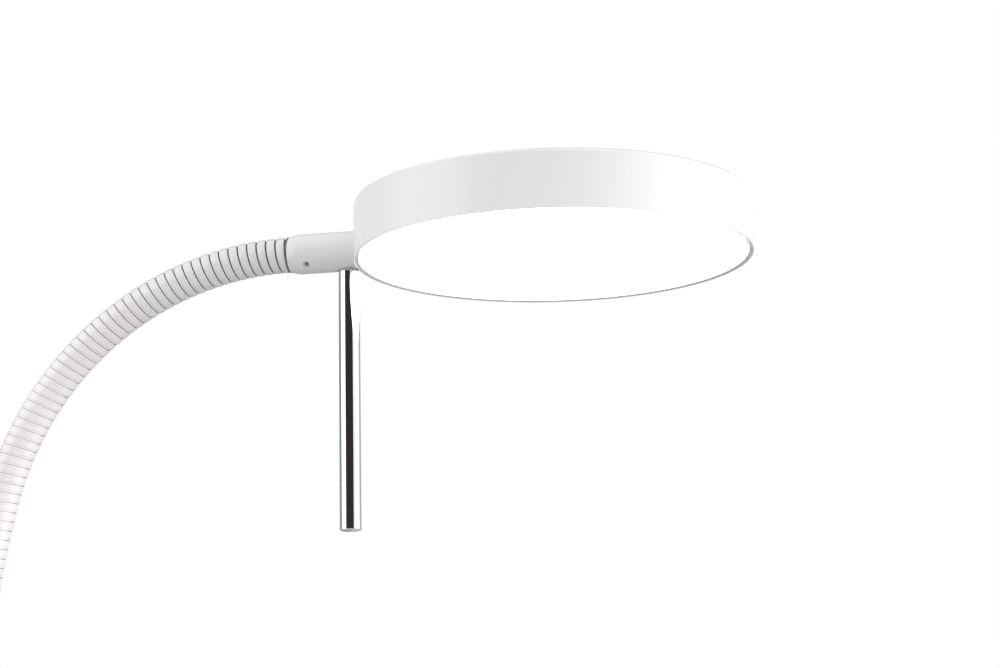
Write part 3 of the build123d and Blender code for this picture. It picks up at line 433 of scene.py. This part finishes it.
def coated_strip_shade(name, upper_tones, lower_tones):
    """White coat on the wound steel strip, a little uneven, with painted shade: darker tones near the head
    and lighter ones below.
    """
    material, shader = new_material(name, upper_tones[0], roughness=0.34)
    upper = mix_colours(material, noise(material, 120, detail=4), *upper_tones)
    lower = mix_colours(material, noise(material, 60, detail=4), *lower_tones)
    # Painted shade: the coat goes darker towards the head.
    height = remap(material, position_along(material, "Z"), 0, 1, NECK_SHADE_FADE)
    mixed = mix_colours(material, height, lower, upper)
    material.node_tree.links.new(mixed, shader.inputs["Base Color"])
    vary_roughness(material, shader, noise(material, 500, detail=3), 0.26, 0.42)
    add_bump(material, shader, noise(material, 1800, detail=2), strength=0.16, distance=0.0002)
    add_clear_coat(shader, weight=0.8, roughness=0.08)
    return material


def shaded_strip_groove():
    """The gap between turns of the strip, in painted shade: dark near the head and at its sides, with the
    lighter coat at its front below.
    """
    material, shader = new_material("shaded_strip_groove", (0.03, 0.03, 0.032), roughness=0.75)
    # Painted shade fills the groove near the head and at its sides; the front below keeps the lighter coat.
    shade_patches = noise(material, 700, detail=3)
    groove_shade = mix_colours(material, shade_patches, (0.022, 0.022, 0.024), (0.070, 0.066, 0.064))
    lit_coat_patches = noise(material, 500, detail=3)
    lit_groove_coat = mix_colours(material, lit_coat_patches, (0.70, 0.67, 0.67), (0.55, 0.52, 0.52))
    height = remap(material, position_along(material, "Z"), 0, 1, NECK_SHADE_FADE)
    shaded_sides = remap(material, position_along(material, "Y"), 0, 1, GROOVE_SHADE_SIDES)
    mixed = mix_colours(material, larger(material, height, shaded_sides), lit_groove_coat, groove_shade)
    material.node_tree.links.new(mixed, shader.inputs["Base Color"])
    return material


def chrome():
    """Polished chrome plate, with faint polishing marks along the bar."""
    material, shader = new_material("polished_chrome", (0.86, 0.865, 0.875), roughness=0.04, metallic=1.0)
    marks = noise(material, 90, detail=5, stretch=(14, 14, 1))
    vary_roughness(material, shader, marks, 0.025, 0.070)
    paint(material, shader, noise(material, 40, detail=2), (0.87, 0.875, 0.88), (0.83, 0.835, 0.845))
    add_bump(material, shader, marks, strength=0.015, distance=0.0001)
    return material


def opal_acrylic():
    """Opal diffuser, lit from behind."""
    material, shader = new_material("opal_acrylic", (0.93, 0.93, 0.92), roughness=0.35)
    paint(material, shader, noise(material, 60, detail=2), (0.94, 0.94, 0.935), (0.90, 0.90, 0.895))
    add_bump(material, shader, noise(material, 2200, detail=1), strength=0.10, distance=0.0001)
    shader.inputs["Emission Color"].default_value = (1.0, 0.995, 0.985, 1)
    shader.inputs["Emission Strength"].default_value = 3.0
    return material


def metal(name, light, dark, roughness, grain, stretch=(1, 1, 1)):
    """Bare metal with brighter edges and a grain: a noise that stretch can draw out into streaks."""
    material, shader = new_material(name, light, roughness[0], metallic=1.0)
    streaks = noise(material, grain, detail=5, stretch=stretch)
    paint(material, shader, streaks, light, dark)
    worn = tuple(min(BRIGHTEST_METAL_EDGE, part + METAL_EDGE_LIFT) for part in light)
    wear_edges(material, shader, EDGE_RADIUS, worn, patch_scale=500)
    vary_roughness(material, shader, streaks, *roughness)
    add_bump(material, shader, streaks, strength=0.06, distance=0.0001)
    return material


def moulded(name, light, dark, roughness, grain=1600, relief=0.2):
    """Moulded plastic or rubber with a fine texture and paler edges."""
    material, shader = new_material(name, light, roughness)
    paint(material, shader, noise(material, 140, detail=3), light, dark)
    worn = tuple(min(1.0, PLASTIC_EDGE_GAIN * part + PLASTIC_EDGE_LIFT) for part in light)
    wear_edges(material, shader, EDGE_RADIUS, worn, patch_scale=400)
    smoother, rougher = roughness - PLASTIC_ROUGHNESS_SWING, roughness + PLASTIC_ROUGHNESS_SWING
    vary_roughness(material, shader, noise(material, 600, detail=2), smoother, rougher)
    add_bump(material, shader, noise(material, grain, detail=2), relief, distance=0.0002)
    return material


def circuit_board(name, light, dark):
    """Solder mask with the copper's tracks just showing as relief and tone."""
    material, shader = new_material(name, light, roughness=0.4)
    tracks = material.node_tree.nodes.new("ShaderNodeTexBrick")
    tracks.inputs["Scale"].default_value = 1.0
    tracks.inputs["Brick Width"].default_value = 0.0062
    tracks.inputs["Row Height"].default_value = 0.0021
    tracks.inputs["Mortar Size"].default_value = 0.0004
    material.node_tree.links.new(coordinates(material), tracks.inputs["Vector"])
    paint(material, shader, tracks.outputs["Fac"], light, dark)
    add_bump(material, shader, tracks.outputs["Fac"], strength=0.2, distance=0.0001)
    vary_roughness(material, shader, noise(material, 900, detail=2), 0.32, 0.46)
    return material


def dress_nodes():
    """Gives its material to every CAD node that the gooseneck's skin doesn't replace."""
    neck_cables = [f"neck_cable_{number:02d}" for number in range(1, PIECE_COUNT + 2)]
    coat = powder_coat("white_powder_coat", (0.80, 0.786, 0.776), (0.775, 0.761, 0.751), (0.90, 0.89, 0.88))
    # Painted shade: the socket's coat is a darker copy of the white powder coat.
    socket_shade_tones = ((0.755, 0.742, 0.732), (0.72, 0.708, 0.698), (0.81, 0.80, 0.79))
    socket_coat_shade = powder_coat("socket_coat_shade", *socket_shade_tones)
    zinc = metal("zinc_plate", (0.62, 0.63, 0.66), (0.50, 0.51, 0.54), (0.26, 0.44), grain=420)
    # The neck plugs' dark steel is partly painted shade: a dark line at each end of the neck, where it
    # meets the head's socket and the base.
    plug_steel_shade = metal("dark_plug_steel_shade", (0.22, 0.22, 0.23), (0.15, 0.15, 0.16), (0.35, 0.5), grain=300)
    turned = metal("turned_steel", (0.60, 0.60, 0.61), (0.48, 0.48, 0.49), (0.22, 0.38), 60, (2, 2, 60))
    milled = metal("mill_aluminium", (0.76, 0.76, 0.77), (0.66, 0.66, 0.67), (0.3, 0.5), 200, (6, 1, 1))
    painted = moulded("painted_screw", (0.50, 0.49, 0.485), (0.42, 0.41, 0.405), 0.5)
    grey = moulded("grey_plastic", (0.30, 0.31, 0.325), (0.25, 0.255, 0.27), 0.5)
    black = moulded("black_plastic", (0.035, 0.035, 0.04), (0.02, 0.02, 0.022), 0.45)
    white = moulded("white_plastic", (0.86, 0.86, 0.85), (0.82, 0.82, 0.81), 0.5)
    green = moulded("terminal_green", (0.05, 0.26, 0.11), (0.03, 0.20, 0.08), 0.45)
    button = moulded("button_plastic", (0.52, 0.54, 0.56), (0.47, 0.49, 0.51), 0.36, grain=2400, relief=0.1)
    jacket = moulded("cable_jacket", (0.80, 0.80, 0.785), (0.74, 0.74, 0.725), 0.5, grain=900, relief=0.1)
    silicone = moulded("silicone", (0.26, 0.235, 0.23), (0.21, 0.19, 0.185), 0.6, grain=800, relief=0.1)
    phosphor = moulded("phosphor", (0.90, 0.74, 0.22), (0.84, 0.64, 0.14), 0.55, grain=2600, relief=0.15)
    green_board = circuit_board("green_mask", (0.015, 0.11, 0.035), (0.03, 0.18, 0.06))
    white_board = circuit_board("white_mask", (0.88, 0.88, 0.87), (0.80, 0.80, 0.79))
    dressing = {
        coat: ["head_housing", "base_housing", "base_cover"],
        socket_coat_shade: ["head_socket"],
        chrome(): ["handle_rod"],
        opal_acrylic(): ["diffuser"],
        plug_steel_shade: ["upper_neck_plug", "lower_neck_plug"],
        painted: ["upper_grub_screw", "lower_grub_screw"],
        turned: ["spigot"],
        milled: ["heat_spreader"],
        zinc: [
            "board_screws",
            "carrier_screws",
            "cover_screws",
            "socket_bolt",
            "socket_washer",
            "handle_stud",
            "spigot_nut",
        ],
        grey: ["switch_bezel", "gland_body", "gland_cap", "gland_locknut"],
        black: ["driver_components", "switch_body", "board_connector"],
        white: ["diffuser_carrier", "reflector"],
        green: ["terminal_block"],
        button: ["switch_button"],
        jacket: ["head_cable", "base_cable", *neck_cables],
        silicone: ["diffuser_seal"],
        phosphor: ["led_chips"],
        green_board: ["driver_board"],
        white_board: ["led_board"],
    }
    for material, nodes in dressing.items():
        for node in nodes:
            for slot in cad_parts[node].material_slots:
                slot.material = material


# ---------------------------------------------------------------- studio
CAMERA_FROM_HEAD = Vector((0.18038, -1.13884, -0.28034))
CAMERA_ANGLES = (101.7045, 1.1515, 10.7454)  # in degrees
LENS = 77.4
SENSOR_WIDTH = 36
CLIP_END = 50
ROD_LOW, ROD_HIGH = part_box("handle_rod")
ROD_CENTRE = (ROD_LOW + ROD_HIGH) / 2
FLAG_DISTANCE = 2.0
# Flags seen only in reflections: name, bearing of the middle (from -Y towards +X) and half angle, both
# in degrees, heights of the edges above the rod's middle, and colour.
FLAGS = (
    ("front_flag", 6.1, 41.5, (0.10, 0.95), (0.036, 0.029, 0.027)),
    ("left_flag", -129.4, 36.0, (-0.45, 0.57), (0.30, 0.30, 0.30)),
    ("right_flag", 151.6, 23.0, (-0.45, 0.57), (0.47, 0.47, 0.47)),
    ("back_flag", 180.0, 58.0, (1.10, 3.20), (0.25, 0.25, 0.25)),
)
FLOOR_GREY = (0.42, 0.42, 0.42)
FLOOR_ROUGHNESS = 0.6
FLOOR_SIZE = 14
FLOOR_CENTRE = Vector((0.15, 0, FLOOR_Z - 0.0005))  # just below the spigot's end
NECK_SPOT_AT = 0.30  # arc length of the point of the neck that the spotlight is turned to
SPOT_SOURCE_RADIUS = 0.15
WORLD_STRENGTH = 1.0


def add_camera():
    """The camera, looking up at the head from in front and below."""
    data = bpy.data.cameras.new("camera")
    data.lens = LENS
    data.sensor_width = SENSOR_WIDTH
    data.clip_end = CLIP_END
    camera = bpy.data.objects.new("camera", data)
    camera.location = HEAD_CENTRE + CAMERA_FROM_HEAD
    camera.rotation_euler = Euler([math.radians(a) for a in CAMERA_ANGLES])
    bpy.context.collection.objects.link(camera)
    bpy.context.scene.camera = camera


def add_world():
    """Plain white surroundings."""
    world = bpy.data.worlds.new("white_studio")
    world.use_nodes = True
    background = world.node_tree.nodes["Background"]
    background.inputs["Color"].default_value = (1, 1, 1, 1)
    background.inputs["Strength"].default_value = WORLD_STRENGTH
    bpy.context.scene.world = world


def glowing_material(name, colour):
    """An unlit material of one colour, for the flags."""
    material, shader = new_material(name, (0, 0, 0), roughness=1.0)
    shader.inputs["Specular IOR Level"].default_value = 0
    shader.inputs["Emission Color"].default_value = (*colour, 1)
    shader.inputs["Emission Strength"].default_value = 1.0
    return material


def add_panel(name, centre, facing, width, height, material):
    """A flat stage panel at centre whose face is turned to the point facing."""
    bm = bmesh.new()
    # One metre across, so that its scale is its size.
    bmesh.ops.create_grid(bm, x_segments=1, y_segments=1, size=0.5)
    panel = add_object(name, bm, (material,))
    panel.location = centre
    panel.rotation_euler = (Vector(facing) - Vector(centre)).to_track_quat("Z", "Y").to_euler()
    panel.scale = (width, height, 1)
    return panel


def add_flag(name, bearing, half_angle, heights, colour):
    """An upright panel round the rod that shows only in reflections."""
    angle = math.radians(bearing)
    bottom, top = heights
    middle = ROD_CENTRE + Vector((0, 0, (bottom + top) / 2))
    centre = middle + FLAG_DISTANCE * Vector((math.sin(angle), -math.cos(angle), 0))
    width = 2 * FLAG_DISTANCE * math.tan(math.radians(half_angle))
    flag = add_panel(name, centre, middle, width, top - bottom, glowing_material(name, colour))
    flag.visible_camera = False
    flag.visible_diffuse = False
    flag.visible_shadow = False


def add_softbox(name, centre, size, power):
    """A square area light turned to the head."""
    data = bpy.data.lights.new(name, "AREA")
    data.size = size
    data.energy = power
    light = bpy.data.objects.new(name, data)
    light.location = centre
    light.rotation_euler = (Vector(centre) - HEAD_CENTRE).to_track_quat("Z", "Y").to_euler()
    bpy.context.collection.objects.link(light)
    return light


def add_spot(name, centre, target, angle, power):
    """A soft-edged spotlight turned to a point, with its cone's full angle in degrees."""
    data = bpy.data.lights.new(name, "SPOT")
    data.spot_size = math.radians(angle)
    data.spot_blend = 1.0
    data.shadow_soft_size = SPOT_SOURCE_RADIUS
    data.energy = power
    light = bpy.data.objects.new(name, data)
    light.location = centre
    light.rotation_euler = (Vector(centre) - Vector(target)).to_track_quat("Z", "Y").to_euler()
    light.visible_glossy = False
    bpy.context.collection.objects.link(light)


def add_stage():
    """A pale floor, the soft lights, and the flags that show in the chrome."""
    floor_material = new_material("floor", FLOOR_GREY, FLOOR_ROUGHNESS)[0]
    overhead = FLOOR_CENTRE + Vector((0, 0, 10))
    add_panel("floor", FLOOR_CENTRE, overhead, FLOOR_SIZE, FLOOR_SIZE, floor_material)
    add_softbox("right_softbox", HEAD_CENTRE + Vector((1.5, 0.0, -0.05)), size=1.0, power=14)
    add_softbox("left_softbox", HEAD_CENTRE + Vector((-1.5, -0.75, 0.5)), size=1.6, power=7)
    front = add_softbox("front_softbox", HEAD_CENTRE + Vector((-0.1, -1.9, -0.1)), size=1.2, power=3)
    front.visible_glossy = False
    lower_neck = centreline(NECK_SPOT_AT)[0]
    spot_centre = lower_neck + Vector((1.1, -0.5, -0.1))
    add_spot("neck_spot", spot_centre, lower_neck, angle=15, power=12)
    for flag in FLAGS:
        add_flag(*flag)


add_camera()
gooseneck(
    strip=coated_strip_shade("coated_strip_shade", UPPER_STRIP_SHADED_TONES, LOWER_STRIP_LIT_TONES),
    groove=shaded_strip_groove(),
    # Painted shade: the score lines are darker than the strip.
    score=coated_strip_shade("strip_score_shade", UPPER_SCORE_SHADE_TONES, LOWER_SCORE_SHADE_TONES),
)
dress_nodes()
add_world()
add_stage()
bpy.context.scene.view_settings.view_transform = "Standard"
